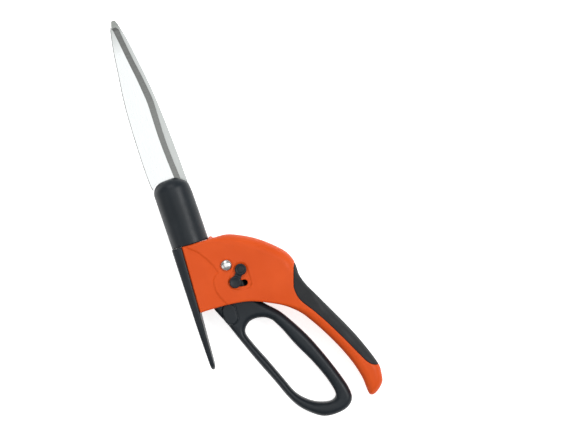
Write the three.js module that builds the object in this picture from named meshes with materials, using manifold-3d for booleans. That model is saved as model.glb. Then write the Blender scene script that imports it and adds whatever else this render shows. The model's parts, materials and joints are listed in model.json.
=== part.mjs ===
// Grass shears with a swivelling head, in millimetres.
//
// Every piece is laid out in the tool's own frame first: +X runs from the blade tips back to the
// handles, +Y from the finger loop up to the palm grip, and +Z to the tool's left. The head's swivel
// axis is the line y = 0, z = 0, and x = 0 is the joint between the head and the housing. The whole
// tool is then moved so that it lies on its right side, centred over the origin.
import * as THREE from 'three';
import { mergeVertices } from 'three/addons/utils/BufferGeometryUtils.js';
import Module from 'manifold-3d';

const wasm = await Module();
wasm.setup();

// ---------- driving dimensions ----------

const GAP = 0.3; // between pieces that touch
const HALF = 14.7; // half the housing's thickness, and the collar's radius
const WALL = 2.5; // housing wall
const GRIP_HALF = 12.6; // half the upper handle's thickness
const LOOP_HALF = 8.5; // half the finger loop's thickness

const HANDLE_SWING = THREE.MathUtils.degToRad(18); // from squeezed to released
const PIVOT = [24.2, 22.2]; // the handles' pivot
const ARM = PIVOT[1]; // from the pivot down to the push rod's line
const ROD_REACH = ARM * Math.tan(HANDLE_SWING / 2); // half the push rod's travel
const ROD_PIN_X = PIVOT[0] + ROD_REACH;

const BLADE_PIVOT = [-36, 4];
const BLADE_ARM = 11; // from the blade pivot down to the drive pin's line
const BLADE_PIN = [BLADE_PIVOT[0] + ROD_REACH, BLADE_PIVOT[1] - BLADE_ARM];
const BLADE_THICK = 2.2;
const BLADE_FACE = 0.15; // from the middle plane to each blade's inner face
const BLADE_SPACE = BLADE_FACE + BLADE_THICK + GAP;

const COLLAR_FRONT = -51.4;
const COLLAR_BACK = 0.8;
const COLLAR_CORNER = 9; // how round the collar's front edge is
const COLLAR_DROOP = 0.033; // the collar's skin leans down this much for each millimetre forwards
const COLLAR_BORE = 12.3;
const HUB_RADIUS = COLLAR_BORE - GAP;
const NECK_RADIUS = 7.2;
const TAIL_RADIUS = 6.2; // the hub's stub behind its flange
const FLANGE_RADIUS = 10.2;
const FLANGE = [5.3, 7.3];
const SWIVEL_RIB = [7.6, 10];
const DETENT_RADIUS = 8.7; // from the swivel axis to the detent ball

const HOUSING_FRONT = 1.2;
const HOUSING_BACK = 53.4;
const SHELL_BOTTOM = -11.9; // the shells' lowest edge, inside the skid plate
const SHELL_BOTTOM_HALF = 12.5;
const SKID_TOP = -6.6;
const SKID_SLOPE = 2.6 / 90; // the underside rises this much for each millimetre back
const skidBottom = (x) => -14.9 + SKID_SLOPE * (x - 5);

const LOCK_PIVOT = [30.4, 31.8];
const LOCK_THUMB = [38.6, 25.1];
const LOCK_NOSE = [41.5, 17]; // the tip of the lock's inner lever
const LOCK_DISC = 4.5; // radius of both lock discs
const LOCK_SWING = THREE.MathUtils.degToRad(39);
const LOCK_SLOT = 4.8; // width of the thumb's slot
const LOCK_TOP = 17.2;

const SPRING_FOOT = [44.3, 33.4];
const SPRING_LENGTH = 20;
const SPRING_RADIUS = 4.4;
const SPRING_WIRE = 0.6;
const footArm = new THREE.Vector2(SPRING_FOOT[0] - PIVOT[0], SPRING_FOOT[1] - PIVOT[1]).normalize();
const SPRING_WAY = [-footArm.y, footArm.x]; // square to the line from the pivot to the foot

const HOUSING_SCREWS = [
  { at: [10.5, 26], head: -HALF },
  { at: [24, 59], head: -HALF },
  { at: [66.5, 63.5], head: -HALF },
  { at: [104, 88.5], head: -GRIP_HALF },
  { at: [141, 105.3], head: -GRIP_HALF },
];
const SCREW_HEAD = 2.6;
const SCREW_SHANK = 1.4;
const SKID_SCREWS_X = [17, 44];
const SKID_SCREW_Z = -6;
const TANG_SCREWS = [[-43.2, -4.4], [-25.2, -3]];
const ARM_RIVETS = [[33.6, 26.2], [41, 23.4]];
const SLEEVE_SCREW_X = -12;

// ---------- colours ----------

const finishes = {
  orange: { color: 0xe05a2b, roughness: 0.35, metalness: 0 },
  black: { color: 0x2d3234, roughness: 0.45, metalness: 0 },
  rubber: { color: 0x242828, roughness: 0.8, metalness: 0 },
  bladeSteel: { color: 0xd8dcdc, roughness: 0.25, metalness: 1 },
  chrome: { color: 0xe6e8ea, roughness: 0.1, metalness: 1 },
  zinc: { color: 0xb4b8bc, roughness: 0.35, metalness: 1 },
  acetal: { color: 0xe8e6e0, roughness: 0.5, metalness: 0 },
};

// ---------- solids ----------

/** Whether a closed mesh's faces point inwards, from the sign of its volume. */
function facesPointIn(positions, faces) {
  const [a, b, c] = [0, 1, 2].map(() => new THREE.Vector3());
  let volume = 0;
  for (let i = 0; i < faces.length; i += 3) {
    a.fromArray(positions, 3 * faces[i]);
    b.fromArray(positions, 3 * faces[i + 1]);
    c.fromArray(positions, 3 * faces[i + 2]);
    volume += a.dot(b.cross(c));
  }
  return volume < 0;
}

/** A solid from a closed geometry. */
function solid(geometry) {
  const bare = new THREE.BufferGeometry();
  bare.setAttribute('position', geometry.attributes.position);
  bare.setIndex(geometry.index);
  const merged = mergeVertices(bare, 1e-4);
  const positions = merged.attributes.position.array;
  const index = merged.index.array;
  const faces = [];
  for (let i = 0; i < index.length; i += 3) {
    const [a, b, c] = [index[i], index[i + 1], index[i + 2]];
    if (a !== b && b !== c && c !== a) faces.push(a, b, c);
  }
  if (facesPointIn(positions, faces)) faces.reverse();
  return new wasm.Manifold(new wasm.Mesh({
    numProp: 3,
    vertProperties: Float32Array.from(positions),
    triVerts: Uint32Array.from(faces),
  }));
}

/** The geometry of a solid. */
function geometryOf(body) {
  const mesh = body.getMesh();
  const geometry = new THREE.BufferGeometry();
  geometry.setAttribute('position', new THREE.BufferAttribute(mesh.vertProperties, 3));
  geometry.setIndex(new THREE.BufferAttribute(mesh.triVerts, 1));
  geometry.computeVertexNormals();
  return geometry;
}

const join = (...bodies) => bodies.reduce((whole, body) => whole.add(body));
const cut = (body, ...tools) => tools.reduce((whole, tool) => whole.subtract(tool), body);

/** A closed outline: a run of one point is a straight edge, and a longer run is a smooth curve. */
function outline(start, ...runs) {
  const shape = new THREE.Shape();
  shape.moveTo(...start);
  for (const run of runs) {
    if (run.length === 1) shape.lineTo(...run[0]);
    else shape.splineThru(run.map(([x, y]) => new THREE.Vector2(x, y)));
  }
  return shape;
}

/** A loop of points without the ones that lie on the straight line between their neighbours. */
function corners(loop) {
  const points = loop.filter((point, i) => point.distanceTo(loop[(i + 1) % loop.length]) > 1e-4);
  return points.filter((point, i) => {
    const before = points[(i + points.length - 1) % points.length];
    const after = points[(i + 1) % points.length];
    const [a, b] = [point.clone().sub(before), after.clone().sub(point)];
    return Math.abs(a.cross(b)) > 1e-6 * a.length() * b.length();
  });
}

/** An outline as straight edges, with its curves in so many steps. */
function plain(shape, curve) {
  const { shape: edge, holes } = shape.extractPoints(curve);
  const flat = new THREE.Shape(corners(edge));
  flat.holes = holes.map((hole) => new THREE.Path(corners(hole)));
  return flat;
}

/** An outline between two levels of z. round is how far its edges are rounded inwards. */
function prism(shape, z0, z1, { round = 0, drop = round, rings = 2, curve = 1 } = {}) {
  const geometry = new THREE.ExtrudeGeometry(plain(shape, curve), {
    depth: z1 - z0 - 2 * drop,
    bevelEnabled: round > 0,
    bevelSize: round,
    bevelOffset: -round,
    bevelThickness: drop,
    bevelSegments: rings,
  });
  return solid(geometry.translate(0, 0, z0 + drop));
}

const rotated = (body, x, y, z) => body.rotate([x, y, z]);
const block = (x0, x1, y0, y1, z0, z1) => solid(new THREE.BoxGeometry(x1 - x0, y1 - y0, z1 - z0)
  .translate((x0 + x1) / 2, (y0 + y1) / 2, (z0 + z1) / 2));

/** A solid of revolution. Its profile holds [radius, height] pairs up its axis from point at. */
function turned(profile, axis, at, sides = 16, droop = 0) {
  const geometry = new THREE.LatheGeometry(profile.map(([r, h]) => new THREE.Vector2(r, h)), sides);
  if (axis === 'z') geometry.rotateX(Math.PI / 2);
  if (axis === 'x') geometry.rotateZ(-Math.PI / 2);
  geometry.applyMatrix4(new THREE.Matrix4().makeShear(droop, 0, 0, 0, 0, 0));
  return solid(geometry.translate(...at));
}

const cylinder = (axis, at, length, radius, sides = 16) =>
  turned([[0, 0], [radius, 0], [radius, length], [0, length]], axis, at, sides);
const pin = ([x, y], z0, z1, radius, sides = 16) => cylinder('z', [x, y, z0], z1 - z0, radius, sides);
const tubeX = (x0, x1, radius, sides = 32) => cylinder('x', [x0, 0, 0], x1 - x0, radius, sides);

/** A strip of constant width with round ends, from p to q. */
function capsule(p, q, radius) {
  const along = Math.atan2(q[1] - p[1], q[0] - p[0]);
  const shape = new THREE.Shape();
  shape.absarc(p[0], p[1], radius, along + Math.PI / 2, along + 1.5 * Math.PI, false);
  shape.absarc(q[0], q[1], radius, along - Math.PI / 2, along + Math.PI / 2, false);
  return shape;
}

class Helix extends THREE.Curve {
  constructor(radius, length, turns) {
    super();
    Object.assign(this, { radius, length, turns });
  }

  getPoint(t, target = new THREE.Vector3()) {
    const angle = 2 * Math.PI * this.turns * t;
    const { radius, length } = this;
    return target.set(radius * Math.cos(angle), radius * Math.sin(angle), length * t);
  }
}

/** A coil spring from point at, along way. */
function coil(at, way, { radius, length, turns, wire, stepsPerTurn = 10, sides = 6 }) {
  const section = new THREE.Shape();
  for (let i = 0; i < sides; i += 1) {
    const angle = (2 * Math.PI * i) / sides;
    section[i ? 'lineTo' : 'moveTo'](wire * Math.cos(angle), wire * Math.sin(angle));
  }
  const geometry = new THREE.ExtrudeGeometry(section, {
    steps: Math.round(turns * stepsPerTurn),
    extrudePath: new Helix(radius, length, turns),
  });
  const turn = new THREE.Quaternion().setFromUnitVectors(
    new THREE.Vector3(0, 0, 1),
    new THREE.Vector3(...way).normalize(),
  );
  return solid(geometry.applyQuaternion(turn).translate(...at));
}

/** A closed solid through clockwise outlines of equally many points, one at each level of z. */
function stack(levels) {
  const count = levels[0].points.length;
  const rings = levels.map(({ z, points }) => ({ z, points: [...points].reverse() }));
  const positions = rings.flatMap(({ z, points }) => points.flatMap(([x, y]) => [x, y, z]));
  const faces = [];
  for (let level = 0; level + 1 < levels.length; level += 1) {
    for (let i = 0; i < count; i += 1) {
      const a = level * count + i;
      const b = level * count + ((i + 1) % count);
      faces.push(a, b, b + count, a, b + count, a + count);
    }
  }
  const lid = (level) => THREE.ShapeUtils.triangulateShape(
    rings[level].points.map(([x, y]) => new THREE.Vector2(x, y)),
    [],
  );
  for (const [a, b, c] of lid(0)) faces.push(c, b, a);
  const top = (levels.length - 1) * count;
  for (const [a, b, c] of lid(levels.length - 1)) faces.push(top + a, top + b, top + c);
  const geometry = new THREE.BufferGeometry();
  geometry.setAttribute('position', new THREE.Float32BufferAttribute(positions, 3));
  geometry.setIndex(faces);
  return solid(geometry);
}

/** Points along a smooth curve through a few knots, with so many steps. */
const smooth = (knots, steps) => new THREE.SplineCurve(knots.map(([x, y]) => new THREE.Vector2(x, y)))
  .getPoints(steps)
  .map(({ x, y }) => [x, y]);

/** A pan-head screw whose head's outer face is at point at, pointing along the axis. */
const screw = (axis, at, { head = SCREW_HEAD, shank = SCREW_SHANK, thick = 1.8, length, sides = 10 }) =>
  turned([
    [0, 0], [head * 0.8, 0], [head, thick * 0.5], [head, thick],
    [shank, thick], [shank, length - 1], [0, length],
  ], axis, at, sides);

// ---------- housing ----------

/** The housing's front and the top of its dome, up to the grip. */
const DOME = [[1.7, 29], [5.7, 39.4], [11.6, 50.2], [19.8, 60.8], [27.4, 68.4], [34, 71.9], [42, 73.2]];

/** The left view's whole outline of the housing, the upper handle and its grip. */
function handleSide() {
  return outline(
    [HOUSING_FRONT, -6.3],
    [[HOUSING_FRONT, 20]],
    DOME,
    [[48, 73.3], [56, 76], [66, 81.4], [82, 90.1], [100, 99.6], [115, 106.3], [130, 112]],
    [[137, 112.4], [144, 110.9], [149, 106.6], [151.9, 102.2]],
    [[151.2, 98.2]],
    [[146, 97.7], [137, 96.9], [124, 93.3], [110, 87.3], [96, 79.8], [84, 72.3]],
    [[75, 65.6], [66.9, 56], [60.7, 44], [56, 32], [54, 20]],
    [[HOUSING_BACK, 8]],
    [[HOUSING_BACK, -7.3]],
  );
}

/** The thick part of the housing: the same outline, closed behind the dome. */
function bodySide() {
  return outline(
    [HOUSING_FRONT, -6.3],
    [[HOUSING_FRONT, 20]],
    DOME,
    [[51, 71.2], [59, 67]],
    [[67.6, 57.2]],
    [[60.7, 44], [56, 32], [54, 20]],
    [[HOUSING_BACK, 8]],
    [[HOUSING_BACK, -7.3]],
  );
}

/** The side of the grip insert, grown by a clearance on the edge that meets the shells. */
function gripSide(grow) {
  return outline(
    [36.8 - grow, 75],
    [[38 - grow, 72.4], [41.2 - grow, 70.9 - grow], [46.4 - grow, 69.2 - grow], [51, 67.8 - grow],
      [57, 66.5 - grow], [66, 68.6 - grow], [76, 75.5 - grow],
      [88, 83.2 - grow], [104, 92.2 - grow], [118, 99.6 - grow], [126.6, 104.6 - grow],
      [130.2 + grow, 110]],
    [[130.4 + grow, 120]],
    [[36, 100]],
  );
}

/** The hollow inside the housing, open at the back where the lower handle swings. */
function bodyHollow() {
  const back = 62;
  return outline(
    [4.1, -10.6],
    [[4.1, 21]],
    [[4.7, 30], [8.2, 39], [14.2, 48.8], [22, 58.6], [29, 65.4], [34.6, 68.8], [40.6, 68.8]],
    [[47, 65.4], [54, 63.4], [60, 62.6]],
    [[63.4, 58.4]],
    [[58.2, 45.6]],
    [[57.4, 43]],
    [[back, 43]],
    [[back, -5.6]],
    [[50.2, -5.6]],
    [[50.2, -10.6]],
  );
}

/** The pocket that keeps the upper handle light. */
function handlePocket() {
  return outline(
    [72, 67.6],
    [[80, 75.2]],
    [[90, 81.6], [99, 86.4]],
    [[99.4, 84.6]],
    [[90, 79.2], [80, 72.4], [73.4, 66.6]],
  );
}

/** The shelf inside the dome that the return spring pushes against, and its peg. */
function springSeat() {
  const [dx, dy] = SPRING_WAY;
  const tilt = THREE.MathUtils.radToDeg(Math.atan2(dy, dx)) - 90;
  const [x, y] = [0, 1].map((i) => SPRING_FOOT[i] + SPRING_WAY[i] * (SPRING_LENGTH + SPRING_WIRE + GAP));
  const reach = HALF - WALL + 0.1;
  const shelf = block(-7, 7, 0, 3, -reach, reach);
  const peg = cylinder('y', [0, -4, 0], 5, 3);
  return rotated(join(shelf, peg), 0, 0, tilt).translate([x, y, 0]);
}

function lockSlot() {
  const [cx, cy] = LOCK_PIVOT;
  const [dx, dy] = [LOCK_THUMB[0] - cx, LOCK_THUMB[1] - cy];
  const radius = Math.hypot(dx, dy);
  const start = Math.atan2(dy, dx);
  const end = start + LOCK_SWING;
  const half = LOCK_SLOT / 2;
  const at = (angle, r) => [cx + r * Math.cos(angle), cy + r * Math.sin(angle)];
  const shape = new THREE.Shape();
  shape.absarc(cx, cy, radius + half, start, end, false);
  shape.absarc(...at(end, radius), half, end, end + Math.PI, false);
  shape.absarc(cx, cy, radius - half, end, start, true);
  shape.absarc(...at(start, radius), half, start + Math.PI, start + 2 * Math.PI, false);
  return prism(shape, HALF - WALL - 2, HALF + 1, { curve: 5 });
}

/** Both shells as one body, before they are parted at the middle plane. */
function wholeHousing() {
  const inside = HALF - WALL;
  const lowerBox = prism(
    outline([-SHELL_BOTTOM_HALF, -5], [[-SHELL_BOTTOM_HALF, -8.6]], [[-9, SHELL_BOTTOM]],
      [[9, SHELL_BOTTOM]], [[SHELL_BOTTOM_HALF, -8.6]], [[SHELL_BOTTOM_HALF, -5]]),
    HOUSING_FRONT,
    51,
  );
  const skin = join(
    prism(bodySide(), -HALF, HALF, { round: 4 }),
    prism(handleSide(), -GRIP_HALF, GRIP_HALF, { round: 3.4, drop: 5 }),
    rotated(lowerBox, 0, 90, 0),
  );
  const hollow = join(
    prism(bodyHollow(), -inside + 2, inside - 2),
    prism(bodyHollow(), -inside, inside).subtract(block(0, 70, -20, -5.6, -30, 30)),
  );
  const shell = cut(
    skin,
    hollow,
    prism(handlePocket(), -GRIP_HALF + WALL, GRIP_HALF - WALL),
    prism(capsule([112, 91.6], [124, 97.2], 1.6), -GRIP_HALF + WALL, GRIP_HALF - WALL, { curve: 2 }),
    prism(gripSide(GAP), -HALF - 1, HALF + 1),
  );
  const ribs = join(
    block(SWIVEL_RIB[0], SWIVEL_RIB[1], -10.7, 12.4, -inside + 1.9, inside - 1.9),
    cylinder('x', [SWIVEL_RIB[0], 0, DETENT_RADIUS], 7.6, 3),
    springSeat(),
    pin(PIVOT, -inside - 0.1, -LOOP_HALF - GAP, 7.4),
    pin(PIVOT, LOOP_HALF + GAP, inside + 0.1, 5.4),
    ...SKID_SCREWS_X.map((x) => cylinder('y', [x, SHELL_BOTTOM, SKID_SCREW_Z], 4.6, 3)),
    ...HOUSING_SCREWS.slice(0, 2).map(({ at }) => pin(at, -inside - 0.1, inside + 0.1, 3.4)),
  );
  return cut(
    join(shell, ribs),
    tubeX(0, 4.2, NECK_RADIUS + GAP, 32),
    tubeX(SWIVEL_RIB[0] - 1, 13.4, TAIL_RADIUS + GAP, 32),
    cylinder('x', [SWIVEL_RIB[0] - 1, 0, DETENT_RADIUS], 7, 1.8),
    pin(PIVOT, -HALF - 1, HALF + 1, 3.3),
    pin(PIVOT, -HALF - 1, -12.3, 5.7, 6),
    ...SKID_SCREWS_X.map((x) => cylinder('y', [x, SHELL_BOTTOM - 1, SKID_SCREW_Z], 5, SCREW_SHANK + GAP)),
    ...HOUSING_SCREWS.map(({ at, head }) => pin(at, head - 1, 9, SCREW_SHANK + GAP, 12)),
    ...HOUSING_SCREWS.map(({ at, head }) => pin(at, head - 1, head + 2.9, SCREW_HEAD + GAP, 16)),
  );
}

const housing = wholeHousing();
const leftHalf = block(-10, 170, -30, 130, GAP / 2, 40);
const rightHalf = block(-10, 170, -30, 130, -40, -GAP / 2);

const housingLeft = () => cut(
  housing.intersect(leftHalf),
  lockSlot(),
  pin(LOCK_PIVOT, HALF - WALL - 2, HALF + 1, 2.3),
);
const housingRight = () => housing.intersect(rightHalf);

/** The soft insert along the top of the upper handle, as wide as the handle under it. */
const gripInsert = () => join(
  prism(bodySide(), -HALF, HALF, { round: 4 }),
  prism(handleSide(), -GRIP_HALF, GRIP_HALF, { round: 3.4, drop: 5 }),
).intersect(prism(gripSide(0), -HALF - 1, HALF + 1));

/** The plate under the housing that slides over the lawn, with its tail behind. */
function skidPlate() {
  const side = prism(outline(
    [1.6, SKID_TOP],
    [[1.6, -12.4]],
    [[2.6, -14.3], [5, skidBottom(5)]],
    [[95, skidBottom(95)]],
    [[98, -11.8], [99, -10.6], [98, -9.3], [95, -8.8]],
    [[56, -7.9]],
    [[HOUSING_BACK, -7.6]],
  ), -HALF - 1, HALF + 1);
  const plan = rotated(prism(outline(
    [-2, HALF],
    [[46, HALF]],
    [[60, 13.9], [78, 11.4], [92, 9.2]],
    [[97, 6.4], [99.4, 0], [97, -6.4], [92, -9.2]],
    [[78, -11.4], [60, -13.9], [46, -HALF]],
    [[-2, -HALF]],
  ), -4, 30, { curve: 2 }), 90, 0, 0);
  const section = rotated(prism(outline(
    [-HALF, 0],
    [[-HALF, -9.2]],
    [[-13.4, -12.4], [-9.6, -15]],
    [[9.6, -15]],
    [[13.4, -12.4], [HALF, -9.2]],
    [[HALF, 0]],
  ), -2, 110), 0, 90, 0);
  const pocket = rotated(prism(outline(
    [-SHELL_BOTTOM_HALF - GAP, 0],
    [[-SHELL_BOTTOM_HALF - GAP, -8.8]],
    [[-9.2, SHELL_BOTTOM - GAP]],
    [[9.2, SHELL_BOTTOM - GAP]],
    [[SHELL_BOTTOM_HALF + GAP, -8.8]],
    [[SHELL_BOTTOM_HALF + GAP, 0]],
  ), -2, 51 + GAP), 0, 90, 0);
  return cut(
    side.intersect(plan).intersect(section),
    pocket,
    ...SKID_SCREWS_X.flatMap((x) => [
      cylinder('y', [x, -16, SKID_SCREW_Z], 6, SCREW_SHANK + GAP, 12),
      cylinder('y', [x, -16, SKID_SCREW_Z], 2.6, SCREW_HEAD + GAP, 16),
    ]),
  );
}

const skidScrew = (x) => screw('y', [x, -14.2, SKID_SCREW_Z], { thick: 0.7, length: 6 });
const housingScrew = ({ at, head }) => screw('z', [...at, head + 0.8], { length: 7.8 - head });

/** The domed pivot pin that shows on the left side. */
const pivotRivet = () => turned([
  [0, -13.8], [3, -13.8], [3, HALF + GAP], [4.3, HALF + GAP], [4.2, HALF + 0.9], [3.5, HALF + 1.9],
  [2.2, HALF + 2.5], [0, HALF + 2.8],
], 'z', [...PIVOT, 0], 24);
const pivotNut = () => pin(PIVOT, -14.2, -12.6, 5.2, 6).subtract(pin(PIVOT, -20, 0, 3.3));
const pivotBushing = () => pin(PIVOT, -8.4, 8.4, 4.3).subtract(pin(PIVOT, -20, 20, 3.3));

const detentBall = () => solid(new THREE.SphereGeometry(1.5, 10, 6).translate(8.8, 0, DETENT_RADIUS));
const detentSpring = () => coil([10.8, 0, DETENT_RADIUS], [1, 0, 0], {
  radius: 1.15, length: 2.4, turns: 4, wire: 0.22, stepsPerTurn: 8, sides: 5,
});
const swivelWasher = () => tubeX(4.4, 5, 10).subtract(tubeX(0, 9, NECK_RADIUS + GAP));

// ---------- lower handle ----------

/** The closed finger loop and the root that reaches in to the pivot. */
function lowerHandle() {
  const side = outline(
    [24, 31.2],
    [[40, 33.2], [54, 36], [61, 41.4], [70, 50.6], [80, 57.6], [95, 66.4], [112, 74.2], [130, 81.2],
      [142, 84.8], [150, 84.8], [155.4, 80], [157.7, 72], [157.4, 62], [153.4, 54], [145, 44.6],
      [135, 38.3], [120, 31.8], [100, 22.7], [82, 15.2], [68, 9.6], [57, 4.4]],
    [[53, 3.2], [48, 6.4], [42, 11.2], [35, 13.6], [24, 13.2]],
    [[17.8, 15.8], [15.2, 22.2], [17.8, 28.6], [24, 31.2]],
  );
  side.holes.push(outline(
    [75, 43.7],
    [[71.6, 39], [70, 32], [71.6, 25.4], [78, 20.9], [88, 24], [104, 31.4], [120, 38.4], [134, 44.9],
      [143, 54.4], [147, 64], [147, 70.6], [142.6, 73.8], [130, 70.7], [114, 63.8], [98, 55.2],
      [84, 48.8], [75, 43.7]],
  ));
  const pads = capsule([58, 13.8], [64.2, 13.8], 5.2);
  const [fx, fy] = SPRING_FOOT;
  const tilt = THREE.MathUtils.radToDeg(Math.atan2(SPRING_WAY[1], SPRING_WAY[0])) - 90;
  const seat = rotated(cylinder('y', [0, -SPRING_WIRE - GAP, 0], 9, SPRING_RADIUS + 1.3), 0, 0, tilt);
  return cut(
    join(
      prism(side, -LOOP_HALF, LOOP_HALF, { round: 2.6, drop: 4 }),
      prism(pads, -LOOP_HALF - 0.8, LOOP_HALF + 0.8, { round: 0.6, curve: 4 }),
    ),
    block(10, 48.4, -10, 45, -2.3, 2.3),
    pin(PIVOT, -20, 20, 4.6),
    seat.translate([fx, fy, 0]),
    ...ARM_RIVETS.map((at) => pin(at, -7.2, 7.2, 1.8, 12)),
    ...ARM_RIVETS.flatMap((at) => [pin(at, 5.4, 20, 3.1, 14), pin(at, -20, -5.4, 3.1, 14)]),
  );
}

/** The steel arm inside the root: it turns with the handle and drives the push rod. */
function leverArm() {
  const foot = [ROD_PIN_X, 0];
  const slotWay = [Math.sin(HANDLE_SWING / 2), -Math.cos(HANDLE_SWING / 2)];
  const slotEnd = (s) => [foot[0] + s * slotWay[0], foot[1] + s * slotWay[1]];
  return cut(
    join(
      prism(capsule(PIVOT, [42, 23.6], 6), -2, 2, { curve: 3 }),
      prism(capsule(PIVOT, foot, 3.6), -2, 2, { curve: 3 }),
      pin(PIVOT, -2, 2, 7.6),
    ),
    pin(PIVOT, -5, 5, 4.6),
    prism(capsule(slotEnd(-0.6), slotEnd(0.4), 2.2), -5, 5, { curve: 3 }),
    ...ARM_RIVETS.map((at) => pin(at, -5, 5, 1.8, 12)),
  );
}

const armRivet = (at) => turned([
  [0, -7], [2, -6.9], [2.8, -6.2], [2.8, -5.7], [1.5, -5.7], [1.5, 5.7], [2.8, 5.7], [2.8, 6.2],
  [2, 6.9], [0, 7],
], 'z', [...at, 0], 12);

const returnSpring = () => coil([...SPRING_FOOT, 0], [...SPRING_WAY, 0], {
  radius: SPRING_RADIUS, length: SPRING_LENGTH, turns: 6, wire: SPRING_WIRE, stepsPerTurn: 9, sides: 5,
});

// ---------- push rod ----------

/** The rod on the swivel axis: a clevis behind, and a button in front that can turn in the yoke. */
function pushRod() {
  const stem = turned([
    [0, -10], [3.2, -10], [3.2, -8], [1.7, -8], [1.7, -5.6], [2.4, -5], [2.4, 21], [0, 21],
  ], 'x', [0, 0, 0], 20);
  const clevis = prism(outline([20, -3.6], [[33.4, -3.6]], [[33.4, 3.6]], [[20, 3.6]]), -4.8, 4.8,
    { round: 0.6, rings: 1 });
  return cut(
    join(stem, clevis),
    block(22.4, 40, -10, 10, -2.3, 2.3),
    pin([ROD_PIN_X, 0], -10, 10, 2.1),
  );
}

const rodPin = () => pin([ROD_PIN_X, 0], -5, 5, 1.8);

// ---------- head ----------

/** The collar's side: its upper front corner slopes back further than its lower one. */
function collarSlope(inset) {
  const [dx, dy] = [0.55 * inset, -0.85 * inset];
  return prism(outline(
    [-60 + dx, -20],
    [[-60 + dx, -6]],
    [[COLLAR_FRONT + dx, 4 + dy]],
    [[-47 + dx, 10.2 + dy], [-45 + dx, 11.7 + dy], [-42 + dx, 12.5 + dy], [-34 + dx, 13.6 + dy],
      [-4 + dx, HALF + dy]],
    [[20, HALF + dy]],
    [[20, -20]],
  ), -20, 20);
}

function collarSleeve() {
  const bend = (angle) => [
    HALF - COLLAR_CORNER * (1 - Math.sin(angle)),
    COLLAR_FRONT + COLLAR_CORNER * (1 - Math.cos(angle)),
  ];
  const quarter = [0, 0.25, 0.5, 0.75, 1].map((t) => bend((t * Math.PI) / 2));
  const outer = turned([
    [0, COLLAR_FRONT], ...quarter, [HALF, COLLAR_BACK - 0.4], [HALF - 0.4, COLLAR_BACK], [0, COLLAR_BACK],
  ], 'x', [0, 0, 0], 40, COLLAR_DROOP);
  const bore = tubeX(-46.5, COLLAR_BACK + 1, COLLAR_BORE, 40).intersect(collarSlope(2));
  return cut(
    outer.intersect(collarSlope(0)),
    bore,
    block(-53, -44, -11.2, 16, -BLADE_SPACE, BLADE_SPACE),
    block(-46, -26, 0, 16, -BLADE_SPACE, BLADE_FACE - 0.1),
    cylinder('z', [SLEEVE_SCREW_X, 0, -16], 6, SCREW_SHANK + GAP, 12),
    cylinder('z', [SLEEVE_SCREW_X, 0, -16], 3.2, SCREW_HEAD + GAP, 16),
  );
}

/** Both hub halves as one body: they clamp the blades, carry the yoke and turn in the housing. */
function wholeHub() {
  const core = turned([
    [0, -46.1], [HUB_RADIUS, -46.1], [HUB_RADIUS, 0.5], [NECK_RADIUS, 0.5], [NECK_RADIUS, FLANGE[0]],
    [FLANGE_RADIUS, FLANGE[0]], [FLANGE_RADIUS, FLANGE[1]], [TAIL_RADIUS, FLANGE[1]],
    [TAIL_RADIUS, 12.6], [0, 12.6],
  ], 'x', [0, 0, 0], 32);
  const detentGroove = turned([
    [DETENT_RADIUS - 1.1, 0], [DETENT_RADIUS + 1.1, 0], [DETENT_RADIUS, -0.8], [DETENT_RADIUS - 1.1, 0],
  ], 'x', [FLANGE[1] + 0.01, 0, 0], 32);
  return cut(
    core.intersect(collarSlope(2 + GAP)),
    detentGroove,
    block(-60, -20.6, -20, 20, -BLADE_SPACE, BLADE_SPACE),
    block(-20.7, -5.4, -5.6, 5.6, -6, 6),
    block(-44, -10, -10.2, -3.1, -5.6, 0),
    tubeX(-22, 14, 2.8, 20),
    pin(BLADE_PIVOT, -20, 20, 2.7),
    pin(BLADE_PIVOT, 5.9, 20, 4.6),
    pin(BLADE_PIVOT, -20, -5.9, 4.6),
    pin(BLADE_PIVOT, -3.7, 0, 5.2),
    ...TANG_SCREWS.flatMap((at) => [pin(at, 0, 20, 1.7, 12), pin(at, 7, 20, 2.8, 16)]),
    cylinder('z', [SLEEVE_SCREW_X, 0, -16], 9, SCREW_SHANK + GAP, 12),
  );
}

const hub = wholeHub();
const hubLeft = () => hub.intersect(block(-60, 20, -20, 20, GAP / 2, 20));
const hubRight = () => hub.intersect(block(-60, 20, -20, 20, -20, -GAP / 2));

/** The lower blade, fixed in the head. The ground bevel of its cutting edge faces left. */
function fixedBlade() {
  const edge = smooth([[-173, -5], [-164, -3.8], [-148, -1.2], [-132, 1.8], [-116, 4.2], [-108, 4.6],
    [-85, 4.6], [-68, 5.6], [-49.6, 7.3]], 10);
  const grind = smooth([[-172.4, -9.4], [-164, -8], [-148, -5.5], [-132, -2.8], [-116, -0.7], [-108, -0.2],
    [-85, 0.2], [-68, 1.3], [-49.6, 3]], 10);
  const shank = [[-47.4, 5.2], [-42, 7.2], [-26, 7.6], [-21, 5.4], [-21, -6], [-24.4, -9], [-48, -9.8]];
  const heel = [[-50.9, -10.4], [-50.4, -12.2], [-48.4, -14.6], [-46.2, -15.9], [-50, -16.5]];
  const spine = smooth([[-58, -17.2], [-75, -17.8], [-100, -18], [-120, -17.4], [-140, -15.6],
    [-158, -14], [-173, -11.8]], 8);
  const tip = [[-176, -10.8], [-175.4, -6.8]];
  const low = [...edge, ...shank, ...heel, ...spine, ...tip];
  const high = [...grind, ...shank, ...heel, ...spine, ...tip];
  high[high.length - 1] = [-175, -10.4];
  return cut(
    stack([
      { z: BLADE_FACE, points: low },
      { z: BLADE_FACE + 0.5, points: low },
      { z: BLADE_FACE + BLADE_THICK, points: high },
    ]),
    pin(BLADE_PIVOT, 0, 5, 2.7),
    ...TANG_SCREWS.map((at) => pin(at, 0, 5, 1.7, 12)),
  );
}

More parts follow.
